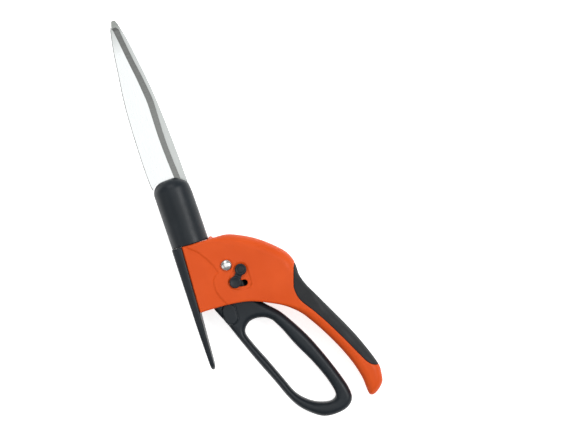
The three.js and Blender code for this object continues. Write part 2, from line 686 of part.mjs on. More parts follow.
/** The upper blade. It swings on its bolt, and the yoke's pin drives the slot in its lobe. */
function movingBlade() {
  const spine = [[-181, -9.1], ...smooth([[-181, -6.2], [-176, -4.3], [-164, -1.2], [-146, 2], [-128, 5],
    [-110, 7.2], [-85, 9.4], [-64, 10.8], [-48, 11.6]], 14)];
  const lobe = [[-43, 11.8], [-38, 12], [-33, 11.2], [-29.4, 8.2], [-28, 4], [-28.2, -7], [-29.6, -10],
    [-32.6, -11], [-35.4, -10.2], [-37, -8]];
  const edge = smooth([[-48, -8.4], [-66, -8.6], [-90, -8.2], [-118, -8.2], [-144, -9.2], [-166, -10.4],
    [-177, -10.2]], 10);
  const grind = smooth([[-48, -4.4], [-66, -4.6], [-90, -4.2], [-118, -4.2], [-144, -5.4], [-166, -7.4],
    [-176, -7.8]], 10);
  const far = -BLADE_FACE - BLADE_THICK;
  const slotWay = [ROD_REACH, -BLADE_ARM].map((v) => v / Math.hypot(ROD_REACH, BLADE_ARM));
  const slotEnd = (s) => [0, 1].map((i) => BLADE_PIN[i] + s * slotWay[i]);
  return cut(
    stack([
      { z: far, points: [...spine, ...lobe, ...grind] },
      { z: -BLADE_FACE - 0.5, points: [...spine, ...lobe, ...edge] },
      { z: -BLADE_FACE, points: [...spine, ...lobe, ...edge] },
    ]),
    pin(BLADE_PIVOT, -5, 0, 2.7),
    prism(capsule(slotEnd(-0.8), slotEnd(0.3), 1.9), -5, 0, { curve: 4 }),
  );
}

const bladeBolt = () => turned([
  [0, -8.4], [2.4, -8.4], [2.4, 6.2], [4.2, 6.2], [4.2, 8.2], [0, 8.2],
], 'z', [...BLADE_PIVOT, 0], 20);
const bladeNut = () => pin(BLADE_PIVOT, -8.3, -6.2, 4.2, 6).subtract(pin(BLADE_PIVOT, -20, 0, 2.7));
const bladeWasher = () => pin(BLADE_PIVOT, -3.4, -2.7, 4.9).subtract(pin(BLADE_PIVOT, -20, 0, 2.7));
const tangScrew = (at) => rotated(
  screw('z', [at[0], -at[1], -9], { head: 2.5, shank: 1.4, thick: 1.7, length: 8.6 }), 180, 0, 0);
const sleeveScrew = () => screw('z', [SLEEVE_SCREW_X, 0, -14.2], { thick: 1, length: 6.4 });

/** The slide that carries the push rod's stroke past the blade bolt to the moving blade. */
function driveYoke() {
  const [px, py] = BLADE_PIN;
  return cut(
    join(
      block(-13, -6, -5.2, 5.2, -5.3, 5.6),
      block(px, -12, py - 2.9, py + 3.6, -5.3, -2.8),
      pin(BLADE_PIN, -5.3, -2.8, 2.9),
    ),
    block(-10.4, -7.6, -3.5, 8, -3.5, 3.5),
    block(-7.7, -5, -2, 8, -2, 2),
    pin(BLADE_PIN, -10, 0, 1.9),
  );
}

const yokePin = () => pin(BLADE_PIN, -5.2, -0.3, 1.6);

// ---------- lock ----------

/** The lock's outer lever: a pivot disc and a thumb disc joined by a neck. */
function lockLever() {
  const floor = HALF + GAP;
  const disc = (at, top) => turned([
    [0, floor], [LOCK_DISC, floor], [LOCK_DISC, top - 0.7], [LOCK_DISC - 0.7, top], [0, top],
  ], 'z', [...at, 0], 24);
  return cut(
    join(
      disc(LOCK_PIVOT, LOCK_TOP - 0.4),
      disc(LOCK_THUMB, LOCK_TOP),
      prism(capsule(LOCK_PIVOT, LOCK_THUMB, 2.6), floor, LOCK_TOP - 0.8, { curve: 3 }),
      pin(LOCK_PIVOT, 11.9, floor + 0.1, 2),
      pin(LOCK_THUMB, 9.4, floor + 0.1, 1.9),
    ),
    pin(LOCK_PIVOT, 11, 15.2, 1.4, 12),
  );
}

/** The lock's inner lever, which the thumb carries round under the shell. */
function lockCatch() {
  const inside = HALF - WALL - GAP;
  return cut(
    join(
      prism(capsule(LOCK_PIVOT, LOCK_THUMB, 3.4), 9, inside - 0.3, { curve: 4 }),
      prism(capsule(LOCK_THUMB, LOCK_NOSE, 2.4), 9, inside - 0.3, { curve: 4 }),
    ),
    pin(LOCK_PIVOT, 0, 20, 1.5, 12),
    pin(LOCK_PIVOT, 0, 10.2, 2.7, 16),
    pin(LOCK_THUMB, 0, 20, 2.2),
  );
}

const lockScrew = () => screw('z', [...LOCK_PIVOT, 8.9], { head: 2.4, shank: 1.1, thick: 1, length: 6 });

// ---------- assembly ----------

const shears = new THREE.Group();

function piece(name, body, finish) {
  const mesh = new THREE.Mesh(geometryOf(body), new THREE.MeshStandardMaterial(finishes[finish]));
  mesh.name = name;
  shears.add(mesh);
}

piece('housing_left', housingLeft(), 'orange');
piece('housing_right', housingRight(), 'orange');
piece('grip_insert', gripInsert(), 'rubber');
piece('skid_plate', skidPlate(), 'black');
['front', 'rear'].forEach((end, i) => piece(`skid_screw_${end}`, skidScrew(SKID_SCREWS_X[i]), 'zinc'));
HOUSING_SCREWS.forEach((place, i) => piece(`housing_screw_${i + 1}`, housingScrew(place), 'zinc'));
piece('pivot_rivet', pivotRivet(), 'chrome');
piece('pivot_nut', pivotNut(), 'zinc');
piece('detent_ball', detentBall(), 'chrome');
piece('detent_spring', detentSpring(), 'zinc');
piece('swivel_washer', swivelWasher(), 'acetal');

piece('lower_handle', lowerHandle(), 'black');
piece('lever_arm', leverArm(), 'zinc');
ARM_RIVETS.forEach((at, i) => piece(`arm_rivet_${i + 1}`, armRivet(at), 'zinc'));
piece('pivot_bushing', pivotBushing(), 'acetal');
piece('return_spring', returnSpring(), 'zinc');

piece('push_rod', pushRod(), 'zinc');
piece('rod_pin', rodPin(), 'zinc');

piece('collar_sleeve', collarSleeve(), 'black');
piece('hub_left', hubLeft(), 'acetal');
piece('hub_right', hubRight(), 'acetal');
piece('fixed_blade', fixedBlade(), 'bladeSteel');
piece('blade_bolt', bladeBolt(), 'zinc');
piece('blade_nut', bladeNut(), 'zinc');
piece('blade_washer', bladeWasher(), 'zinc');
['front', 'rear'].forEach((end, i) => piece(`tang_screw_${end}`, tangScrew(TANG_SCREWS[i]), 'zinc'));
piece('sleeve_screw', sleeveScrew(), 'zinc');
piece('drive_yoke', driveYoke(), 'acetal');
piece('yoke_pin', yokePin(), 'zinc');
piece('moving_blade', movingBlade(), 'bladeSteel');

piece('lock_lever', lockLever(), 'black');
piece('lock_catch', lockCatch(), 'black');
piece('lock_screw', lockScrew(), 'zinc');

// The tool lies on its right side, centred over the origin.
const extent = new THREE.Box3().setFromObject(shears);
const middle = extent.getCenter(new THREE.Vector3());
shears.position.set(-middle.x, -middle.y, -extent.min.z);

export default shears;
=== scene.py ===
"""Looks for the grass shears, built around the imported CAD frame.

Shapes are worked out in millimetres in the tool's own frame: +X from the blade tips back to the
handles, +Y from the finger loop up to the palm grip, +Z to the tool's left. The swivel axis is
y = 0, z = 0, and x = 0 is the joint between the head and the housing. Most pieces are distance
fields, negative inside, which are turned into meshes.
"""

import json
import math
import bmesh
import bpy
import numpy as np
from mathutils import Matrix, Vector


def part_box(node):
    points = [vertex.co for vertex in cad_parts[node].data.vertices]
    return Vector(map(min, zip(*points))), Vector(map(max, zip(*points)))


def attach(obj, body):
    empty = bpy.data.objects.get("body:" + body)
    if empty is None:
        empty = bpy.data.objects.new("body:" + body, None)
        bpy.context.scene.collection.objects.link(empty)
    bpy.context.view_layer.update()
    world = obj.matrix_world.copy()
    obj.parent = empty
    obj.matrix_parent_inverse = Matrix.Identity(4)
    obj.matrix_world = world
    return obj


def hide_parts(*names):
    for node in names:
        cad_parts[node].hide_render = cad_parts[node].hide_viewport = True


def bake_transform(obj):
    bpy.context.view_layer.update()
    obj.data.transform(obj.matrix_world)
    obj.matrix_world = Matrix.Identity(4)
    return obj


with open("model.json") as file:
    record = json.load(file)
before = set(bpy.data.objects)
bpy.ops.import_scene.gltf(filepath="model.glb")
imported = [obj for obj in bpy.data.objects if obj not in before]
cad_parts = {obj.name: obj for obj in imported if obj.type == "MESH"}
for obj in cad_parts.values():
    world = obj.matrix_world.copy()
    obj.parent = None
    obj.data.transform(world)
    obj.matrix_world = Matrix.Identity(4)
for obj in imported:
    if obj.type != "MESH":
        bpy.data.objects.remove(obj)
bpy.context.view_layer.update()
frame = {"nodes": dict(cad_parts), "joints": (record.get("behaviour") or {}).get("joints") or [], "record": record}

import openvdb
from mathutils import Matrix, Vector
from mathutils.geometry import tessellate_polygon

# ---------- places and sizes, in millimetres ----------

MM = 0.001
hinges = {joint["name"]: joint for joint in frame["joints"] if joint["type"] == "hinge"}
joint_spots = {name: np.array(joint["pos_m"]) / MM for name, joint in hinges.items()}
ORIGIN = joint_spots["head_swivel"]  # where the tool's own frame starts, in the row frame
collar_low, collar_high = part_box("collar_sleeve")
COLLAR_BACK = collar_high.x / MM - ORIGIN[0]
HALF = (collar_high.z - collar_low.z) / 2 / MM  # the collar's radius and half the housing's thickness


def centre(node):
    """The middle of a CAD node's box, in the tool's frame."""
    low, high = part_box(node)
    return np.array((low + high) / 2) / MM - ORIGIN


PIVOT = (joint_spots["handle_squeeze"] - ORIGIN)[:2]
LOCK_PIVOT = (joint_spots["lock_swing"] - ORIGIN)[:2]
BLADE_PIVOT = (joint_spots["blade_swing"] - ORIGIN)[:2]
LOCK_SWING = math.radians(hinges["lock_swing"]["range_deg"][1])
BLADE_PIN = centre("yoke_pin")[:2]
SCREWS = [centre(f"housing_screw_{i}")[:2] for i in range(1, 6)]
SCREW_SKINS = (14.7, 13.2, 13.6, 12.6, 11.8)  # from the middle plane to the skin where each screw is
SCREW_HEADS = (13.9, 12.4, 13.0, 11.9, 11.2)  # and to the top of its head
PARTING = 0.12  # half the gap between the two shells

HOUSING_FRONT = 1.2
GRIP_HALF = 12.6  # half the upper handle's thickness
TAIL_HALF = 11.0  # and at its end
FOOT_STEP = 0.75  # how far the housing's foot is set in
LOOP_HALF = 8.5  # half the lower handle's thickness
LOOP_PLAY = 0.3  # between the lower handle and the housing's posts
SPRING_FOOT = np.array([44.3, 33.4])
SPRING_LENGTH = 20.0
WALL = 2.5
COLLAR_FRONT = -51.4
COLLAR_CORNER = 9
COLLAR_DROOP = 0.033  # the collar's skin leans down this much for each millimetre forwards
COLLAR_REACH = 0.28  # how much nearer than its CAD node the collar comes to the housing
BLADE_SPACE = 2.65  # from the middle plane to the sides of the blades' slot
SPINE_CHAMFER = 0.45
THUMB = np.array([38.6, 25.1])
LOCK_DISC = 4.5  # radius of the lock's two discs
LOCK_SLOT = 4.8  # width of the slot under its thumb
SKID_SLOPE = 2.6 / 90
SHELL_BOTTOM = -11.9
DETENT_REACH = 8.7  # from the swivel axis to the detent
TANG_SCREWS = [centre("tang_screw_front")[:2], centre("tang_screw_rear")[:2]]
ARM_RIVETS = [centre("arm_rivet_1")[:2], centre("arm_rivet_2")[:2]]
SKID_SCREWS_X = (17, 44)
SKID_SCREW_Z = -6
COLLAR_SCREW_X = -12
SHANK_HOLE = 1.7  # radius of a screw's hole
SCREW_WELL = 2.95  # radius of the well round its head

# ---------- camera ----------

VIEW_ANGLE = math.radians(73.2)  # from the picture's right-hand side round to the tool's +X, clockwise
VIEW_CENTRE = (1.9, 78.1)  # the point of the tool's middle plane in the middle of the picture
VIEW_WIDTH = 443.5  # how much of that plane the picture spans
CAMERA_DISTANCE = 1405.0  # from that plane
SENSOR = 36.0


def place(point):
    """A point of the tool's frame, in metres in the row frame."""
    return (np.asarray(point, float) + ORIGIN) * MM


def make_camera():
    data = bpy.data.cameras.new("camera")
    data.sensor_width = SENSOR
    data.lens = SENSOR * CAMERA_DISTANCE / VIEW_WIDTH
    camera = bpy.data.objects.new("camera", data)
    bpy.context.scene.collection.objects.link(camera)
    right = Vector((math.cos(VIEW_ANGLE), math.sin(VIEW_ANGLE), 0))
    up = Vector((-right.y, right.x, 0))
    turn = Matrix((right, up, right.cross(up))).transposed()
    spot = place([*VIEW_CENTRE, CAMERA_DISTANCE])
    camera.matrix_world = Matrix.Translation(Vector(spot)) @ turn.to_4x4()
    bpy.context.scene.camera = camera


make_camera()

# ---------- outlines ----------


def smooth(knots, per=6):
    """Points along a smooth curve through a run of knots."""
    knots = np.asarray(knots, float)
    padded = np.vstack([knots[:1], knots, knots[-1:]])
    t = np.linspace(0, 1, per, endpoint=False)[:, None]
    runs = []
    for i in range(len(knots) - 1):
        p0, p1, p2, p3 = padded[i : i + 4]
        v0, v1 = (p2 - p0) / 2, (p3 - p1) / 2
        runs.append(
            (2 * p1 - 2 * p2 + v0 + v1) * t**3 + (-3 * p1 + 3 * p2 - 2 * v0 - v1) * t**2 + v0 * t + p1
        )
    return np.vstack([*runs, knots[-1:]])


def outline(start, *runs, per=6):
    """A closed outline: a run of one point is a straight edge, and a longer run is a smooth curve."""
    points = np.array([start], float)
    for run in runs:
        if len(run) == 1:
            points = np.vstack([points, run])
        else:
            points = np.vstack([points, smooth([points[-1], *run], per)[1:]])
    return points


def arc(middle, radius, start, end, steps=24):
    angles = np.linspace(start, end, steps)
    return np.stack([middle[0] + radius * np.cos(angles), middle[1] + radius * np.sin(angles)], 1)


HANDLE_SIDE = outline(
    [1.2, -6.3],
    [[1.2, 20]],
    [[1.7, 29], [5.7, 39.4], [11.6, 50.2], [19.8, 60.8], [27.4, 68.4], [34, 71.9], [38.6, 72.9],
     [43, 73.1], [48, 73.3], [56, 76], [66, 81.4], [82, 90.1], [100, 99.6], [115, 106.3], [130, 111.8],
     [137, 112.1], [144, 110.9], [149, 106.6], [151.8, 101.6], [150.8, 98.6], [146.6, 97.8],
     [137, 96.9], [124, 93.3], [110, 87.3], [96, 79.8], [84, 72.3],
     [75, 65.6], [66.9, 56], [60.7, 44], [56, 32], [54, 20], [53.4, 8]],
    [[53.4, -7.3]],
)
GRIP_SIDE = outline(
    [36.6, 75],
    [[37.9, 72.3], [41, 70.8], [46.3, 69.1], [51, 67.7], [57, 66.5], [66, 68.6], [76, 75.5], [88, 83.2],
     [104, 92.2], [118, 99.6], [126.6, 104.6], [130.2, 110], [130.6, 116]],
    [[130.6, 130]],
    [[30, 130]],
    [[30, 80]],
)
BODY_HOLLOW = outline(
    [4.1, -10.6],
    [[4.1, 21]],
    [[4.7, 30], [8.2, 39], [14.2, 48.8], [22, 58.6], [29, 65.4], [34.6, 68.8], [40.6, 68.8]],
    [[47, 65.4], [54, 63.4], [60, 62.6]],
    [[63.4, 58.4]],
    [[58.2, 45.6]],
    [[57.4, 43]],
    [[64, 43]],
    [[64, -5.6]],
    [[50.2, -5.6]],
    [[50.2, -10.6]],
)
CONTOUR = outline(
    [-4, -10],
    [[4, -1.1], [8.4, 4], [13.5, 7.8], [18.3, 10.7], [22.6, 13], [27.4, 14.9]],
    [[29.6, 12], [32.8, 9.5], [36.7, 8.9], [42.6, 9.4], [46.8, 11], [51.1, 13.3], [62, 19]],
    [[62, -30]],
    [[-4, -30]],
)
LOOP_OUTER = outline(
    [24, 31.2],
    [[40, 33.2], [54, 36], [61, 41.4], [70, 50.6], [80, 57.6], [95, 66.4], [112, 74.2], [130, 81.2],
     [142, 84.8], [150, 84.8], [155.4, 80], [157.7, 72], [157.4, 62], [153.4, 54], [145, 44.6],
     [135, 38.3], [120, 31.8], [100, 22.7], [82, 15.2], [68, 9.6], [57, 4.4]],
    [[53, 3.2], [48, 6.4], [42, 11.2], [35, 13.6], [24, 13.2]],
    [[17.8, 15.8], [15.2, 22.2], [17.8, 28.6], [24, 31.2]],
)
LOOP_INNER = outline(
    [75, 43.7],
    [[71.6, 39], [70, 32], [71.6, 25.4], [78, 20.9], [88, 24], [104, 31.4], [120, 38.4], [134, 44.9],
     [143, 54.4], [147, 64], [147, 70.6], [142.6, 73.8], [130, 70.7], [114, 63.8], [98, 55.2],
     [84, 48.8], [75, 43.7]],
)
SKID_SIDE = outline(
    [1.1, -6.6],
    [[1.1, -14.4]],
    [[1.7, -14.8]],
    [[5, -14.7]],
    [[95, -12.2]],
    [[98, -11.9], [99, -10.6], [98, -9.3], [95, -8.8]],
    [[56, -7.9]],
    [[53.4, -7.6]],
)
SKID_PLAN = outline(
    [-9, HALF + 0.5],
    [[46, HALF + 0.5]],
    [[60, 13.9], [78, 11.4], [92, 9.2], [97, 6.4], [99, 0], [97, -6.4], [92, -9.2], [78, -11.4],
     [60, -13.9], [46, -HALF - 0.5]],
    [[-9, -HALF - 0.5]],
)
COLLAR_SLOPE = outline(
    [-60, -30],
    [[-60, -6.5]],
    [[-51.6, 4.2]],
    [[-47.4, 10], [-45.4, 11.7], [-42, 12.6], [-34, 13.7], [-4, HALF + 0.1]],
    [[20, HALF + 0.1]],
    [[20, -30]],
)

# ---------- distance fields ----------


class Space:
    """A box of sample points. x, y and z broadcast against each other."""

    def __init__(self, low, high, step):
        self.step = step
        self.low = np.array(low, float) - 2.5 * step
        counts = np.ceil((np.array(high, float) + 2.5 * step - self.low) / step).astype(int) + 1
        axes = [self.low[i] + step * np.arange(counts[i]) for i in range(3)]
        self.shape = tuple(counts)
        x, y, z = (axis.astype(np.float32) for axis in axes)
        self.x, self.y, self.z = x[:, None, None], y[None, :, None], z[None, None, :]


def inside_outline(points, u, v):
    """Signed distance to a closed outline in the plane of u and v."""
    u, v = np.broadcast_arrays(u, v)
    best = np.full(u.shape, 1e9, np.float32)
    crossings = np.zeros(u.shape, bool)
    for (ax, ay), (bx, by) in zip(points, np.roll(points, -1, axis=0)):
        ex, ey = bx - ax, by - ay
        length = ex * ex + ey * ey
        if length < 1e-12:
            continue
        du, dv = u - ax, v - ay
        t = np.clip((du * ex + dv * ey) / length, 0, 1)
        best = np.minimum(best, (du - t * ex) ** 2 + (dv - t * ey) ** 2)
        if ay != by:
            between = (v >= min(ay, by)) & (v < max(ay, by))
            crossings ^= between & (du < dv * ex / ey)
    return np.where(crossings, -1, 1) * np.sqrt(best)


def step_between(low, high, value):
    """0 on low's side, 1 on high's side, and a smooth step between them."""
    t = np.clip((value - low) / (high - low), 0, 1)
    return t * t * (3 - 2 * t)


def mix(a, b, t):
    return a + (b - a) * t


def both(a, b, soft=0.8):
    """Where a and b overlap, with the edge between them rounded off."""
    h = np.maximum(soft - np.abs(a - b), 0) / soft
    return np.maximum(a, b) + h * h * soft / 4


def either(a, b, soft=0.8):
    """a and b together, with the corner between them filled."""
    return -both(-a, -b, soft)


def without(a, b, soft=0.8):
    """a with b cut away."""
    return both(a, -b, soft)


def slab(side, height, half, round_side, round_height=None):
    """A flat piece with rounded edges, from its side's distance and the height over its middle plane."""
    round_height = round_side if round_height is None else round_height
    across = side + round_side
    over = (np.abs(height) - half + round_height) * (round_side / round_height)
    outside = np.hypot(np.maximum(across, 0), np.maximum(over, 0))
    return np.minimum(np.maximum(across, over), 0) + outside - round_side


def disc(u, v, middle, radius):
    """Distance to a disc."""
    return np.hypot(u - middle[0], v - middle[1]) - radius


def strip(u, v, a, b, radius):
    """Distance to a strip with round ends, from a to b."""
    a, b = np.asarray(a, float), np.asarray(b, float)
    along = b - a
    t = np.clip(((u - a[0]) * along[0] + (v - a[1]) * along[1]) / along.dot(along), 0, 1)
    return np.hypot(u - a[0] - t * along[0], v - a[1] - t * along[1]) - radius


def span(value, low, high):
    """Distance to the run from low to high."""
    return np.abs(value - (low + high) / 2) - (high - low) / 2


def minimum_of(fields):
    best = fields[0]
    for field in fields[1:]:
        best = np.minimum(best, field)
    return best


def hexagon(u, v, middle, radius):
    """Distance to a hexagon, radius from its middle to its flats."""
    du, dv = u - middle[0], v - middle[1]
    turns = (0, math.pi / 3, 2 * math.pi / 3)
    return -minimum_of([radius - np.abs(du * math.cos(a) + dv * math.sin(a)) for a in turns])


def box_field(s, low, high):
    return np.maximum(
        np.maximum(span(s.x, low[0], high[0]), span(s.y, low[1], high[1])), span(s.z, low[2], high[2])
    )


def shade_smooth(mesh):
    mesh.polygons.foreach_set("use_smooth", np.ones(len(mesh.polygons), bool))


def show(name, mesh):
    piece = bpy.data.objects.new(name, mesh)
    bpy.context.scene.collection.objects.link(piece)
    return piece


def surface(name, s, field, relax=2, keep=1.0):
    """The zero surface of a field as a mesh object, thinned to a share of its faces."""
    values = np.ascontiguousarray(np.broadcast_to(field, s.shape), np.float32)
    values = np.clip(values, -3 * s.step, 3 * s.step)
    grid = openvdb.FloatGrid(3 * s.step)
    grid.copyFromArray(values)
    points, quads = grid.convertToQuads(isovalue=0.0)
    points = place(s.low + points.astype(float) * s.step)
    mesh = bpy.data.meshes.new(name)
    mesh.from_pydata(points.tolist(), [], quads[:, ::-1].tolist())
    mesh.update()
    piece = show(name, mesh)
    relaxer = piece.modifiers.new("relax", "SMOOTH")
    relaxer.factor = 0.5
    relaxer.iterations = relax
    if keep < 1:
        thinner = piece.modifiers.new("thin", "DECIMATE")
        thinner.ratio = keep
    apply_modifiers(piece)
    shade_smooth(piece.data)
    return piece


def apply_modifiers(piece):
    graph = bpy.context.evaluated_depsgraph_get()
    finished = bpy.data.meshes.new_from_object(piece.evaluated_get(graph))
    piece.modifiers.clear()
    piece.data = finished


# ---------- materials ----------


def node_tree(name):
    material = bpy.data.materials.new(name)
    material.use_nodes = True
    tree = material.node_tree
    return material, tree, tree.nodes["Principled BSDF"]


def noise(tree, scale, detail=3.0, stretch=(1, 1, 1)):
    """Noise in the piece's own place, scale counted per metre."""
    where = tree.nodes.new("ShaderNodeTexCoord")
    mapping = tree.nodes.new("ShaderNodeMapping")
    mapping.inputs["Scale"].default_value = stretch
    tree.links.new(where.outputs["Object"], mapping.inputs["Vector"])
    texture = tree.nodes.new("ShaderNodeTexNoise")
    texture.inputs["Scale"].default_value = scale
    texture.inputs["Detail"].default_value = detail
    tree.links.new(mapping.outputs["Vector"], texture.inputs["Vector"])
    return texture.outputs["Fac"]


def ramp(tree, value, low, high, from_low=0.3, from_high=0.7):
    remap = tree.nodes.new("ShaderNodeMapRange")
    remap.inputs["From Min"].default_value = from_low
    remap.inputs["From Max"].default_value = from_high
    remap.inputs["To Min"].default_value = low
    remap.inputs["To Max"].default_value = high
    tree.links.new(value, remap.inputs["Value"])
    return remap.outputs["Result"]


def colour_between(tree, value, dark, light):
    """A colour between two, each of them plain or another node's result."""
    blend = tree.nodes.new("ShaderNodeMix")
    blend.data_type = "RGBA"
    for socket, colour in (("A", dark), ("B", light)):
        if isinstance(colour, tuple):
            blend.inputs[socket].default_value = (*colour, 1)
        else:
            tree.links.new(colour, blend.inputs[socket])
    tree.links.new(value, blend.inputs["Factor"])
    return blend.outputs["Result"]


def bump(tree, shader, value, strength, depth):
    node = tree.nodes.new("ShaderNodeBump")
    node.inputs["Strength"].default_value = strength
    node.inputs["Distance"].default_value = depth
    tree.links.new(value, node.inputs["Height"])
    tree.links.new(node.outputs["Normal"], shader.inputs["Normal"])


def moulded(name, dark, light, roughness, gloss, grain=2600, grain_depth=0.00004, strength=0.35):
    """Moulded plastic: slightly uneven colour and gloss, with a fine grain."""
    material, tree, shader = node_tree(name)
    tree.links.new(colour_between(tree, ramp(tree, noise(tree, 38), 0, 1), dark, light),
                   shader.inputs["Base Color"])
    tree.links.new(ramp(tree, noise(tree, 130), roughness[0], roughness[1]), shader.inputs["Roughness"])
    shader.inputs["Specular IOR Level"].default_value = gloss
    bump(tree, shader, noise(tree, grain, 2), strength, grain_depth)
    return material


def metal(name, dark, light, roughness, stretch=(1, 1, 1), scale=900, strength=0.2, tip=None):
    """Metal with fine lines. A blade's tip is painted a darker colour as shade, for the light falling off towards
    it: tip holds that colour, and the x where it starts and has gone.
    """
    material, tree, shader = node_tree(name)
    lines = noise(tree, scale, 4, stretch)
    colour = colour_between(tree, ramp(tree, lines, 0, 1), dark, light)
    if tip:
        # painted shade: the colour darkens towards the blade's tip
        tip_shade_colour, start, end = tip
        where = tree.nodes.new("ShaderNodeTexCoord")
        axes = tree.nodes.new("ShaderNodeSeparateXYZ")
        tree.links.new(where.outputs["Object"], axes.inputs["Vector"])
        along = ramp(tree, axes.outputs["X"], 0, 1, place([start, 0, 0])[0], place([end, 0, 0])[0])
        colour = colour_between(tree, along, tip_shade_colour, colour)
    tree.links.new(colour, shader.inputs["Base Color"])
    tree.links.new(ramp(tree, lines, roughness[0], roughness[1]), shader.inputs["Roughness"])
    shader.inputs["Metallic"].default_value = 1.0
    bump(tree, shader, lines, strength, 0.00002)
    return material


ORANGE = moulded("orange_plastic", (0.63, 0.074, 0.008), (0.69, 0.087, 0.011), (0.40, 0.52), gloss=0.17)
BLACK = moulded("black_plastic", (0.005, 0.009, 0.013), (0.009, 0.014, 0.019), (0.40, 0.49), gloss=0.31)
RUBBER = moulded("grip_rubber", (0.012, 0.013, 0.015), (0.018, 0.020, 0.022), (0.56, 0.70), gloss=0.34,
                 grain=1500, grain_depth=0.00008, strength=0.5)
ACETAL = moulded("pale_acetal", (0.62, 0.60, 0.56), (0.72, 0.70, 0.66), (0.32, 0.42), gloss=0.5)
# Both blades' tips are painted darker: painted shade, for the light falling off towards them.
BLADE = metal("blade_steel", (0.61, 0.63, 0.63), (0.71, 0.73, 0.73), (0.26, 0.36), stretch=(0.5, 12, 12),
              scale=260, tip=((0.41, 0.43, 0.42), -174, -153))
# The moving blade's steel: the blade steel painted darker as shade, for the blade lying lower and partly in
# shadow; its tip is painted darker still.
SHADED_BLADE_STEEL = metal("shaded_blade_steel", (0.43, 0.45, 0.44), (0.51, 0.53, 0.52), (0.34, 0.44),
                   stretch=(0.5, 12, 12), scale=260, tip=((0.265, 0.28, 0.265), -177.5, -170))
# Ground bevels and the spine chamfer: steel with grind lines across, its dark colour painted shade and dark
# reflection.
SHADED_GRIND = metal("ground_edge_painted_shade", (0.115, 0.12, 0.115), (0.20, 0.205, 0.20), (0.50, 0.60), stretch=(14, 0.6, 1),
               scale=300, strength=0.35)
CHROME = metal("chrome", (0.60, 0.60, 0.59), (0.66, 0.66, 0.65), (0.24, 0.28), scale=160, strength=0.02)
ZINC = metal("zinc_steel", (0.42, 0.44, 0.46), (0.56, 0.58, 0.60), (0.28, 0.42), scale=1200)

SLOT_MATERIALS = {
    "orange_plastic": ORANGE,
    "black_plastic": BLACK,
    "grip_rubber": RUBBER,
    "blade_steel": BLADE,
    "chrome": CHROME,
    "zinc_steel": ZINC,
    "pale_acetal": ACETAL,
}


def finish_piece(piece, material_slot, body, *nodes):
    """The slot's material unless the piece has its own, and what the piece rides on and replaces."""
    if not piece.data.materials:
        piece.data.materials.append(SLOT_MATERIALS[material_slot])
    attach(piece, body)
    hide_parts(*nodes)
    return piece


# ---------- housing and grip ----------


def thickness(s, contour):
    """Half the housing's thickness over its side: the handle is slimmer, and the foot is set in."""
    half = mix(HALF, GRIP_HALF, step_between(50, 82, s.x))
    half = mix(half, TAIL_HALF, step_between(128, 156, s.x))
    return half - FOOT_STEP * step_between(0.45, -0.45, contour)


def edge_radius(s):
    """How round the housing's edges are: full at the front and along the handle, crisp at the back."""
    back = step_between(-6, 6, s.x - 27 - 0.25 * np.maximum(s.y, 0))
    front = mix(2.0, 8.5, step_between(12, 30, s.y))
    body = mix(front, 1.4, back)
    body = mix(body, 0.8, step_between(-2.5, -5, s.y))
    return mix(body, 6.2, step_between(58, 82, s.x))


def lock_arm():
    """The thumb's distance from the lock's pivot, and its angle at rest."""
    arm = THUMB - LOCK_PIVOT
    return np.hypot(*arm), math.atan2(arm[1], arm[0])


def lock_fan(s):
    """The sunk area that the lock lever sweeps."""
    reach, start = lock_arm()
    arms = []
    for angle in np.linspace(start, start + LOCK_SWING, 7):
        end = LOCK_PIVOT + reach * np.array([math.cos(angle), math.sin(angle)])
        arms.append(strip(s.x, s.y, LOCK_PIVOT, end, LOCK_DISC + 0.8))
    return minimum_of(arms)


def lock_slot(s):
    """The arc slot that the lock's thumb slides along."""
    reach, start = lock_arm()
    dx, dy = s.x - LOCK_PIVOT[0], s.y - LOCK_PIVOT[1]
    angle = np.clip(np.arctan2(dy, dx), start, start + LOCK_SWING)
    return np.hypot(dx - reach * np.cos(angle), dy - reach * np.sin(angle)) - LOCK_SLOT / 2


def spring_way():
    """Which way the return spring points from its foot."""
    arm = (SPRING_FOOT - PIVOT) / np.hypot(*(SPRING_FOOT - PIVOT))
    return np.array([-arm[1], arm[0]])


def spring_axes(s):
    """How far each point is along the spring and across it."""
    way = spring_way()
    dx, dy = s.x - SPRING_FOOT[0], s.y - SPRING_FOOT[1]
    return dx * way[0] + dy * way[1], dx * -way[1] + dy * way[0]


def spring_shelf(s):
    """The shelf and the peg inside the shells that the spring's far end sits on."""
    along, across = spring_axes(s)
    shelf = both(both(span(along, 20.9, 23.9), span(across, -7, 7)), np.abs(s.z) - 12.6)
    peg = both(np.hypot(across, s.z) - 3, span(along, 17, 22))
    return either(shelf, peg)


def handle_skin(s):
    """The rounded outside of the housing and the upper handle, before they are hollowed and parted."""
    contour = inside_outline(CONTOUR, s.x, s.y)
    side = inside_outline(HANDLE_SIDE, s.x, s.y)
    return slab(side, s.z, thickness(s, contour), edge_radius(s))


def lower_box(s):
    """The shells' foot, which the skid plate closes round."""
    chamfer = (np.abs(s.z) - s.y) * 0.7071 - 14.93
    foot = np.maximum(np.maximum(span(s.y, SHELL_BOTTOM, -5), np.abs(s.z) - 12.5), chamfer)
    return np.maximum(span(s.x, HOUSING_FRONT, 51), foot)


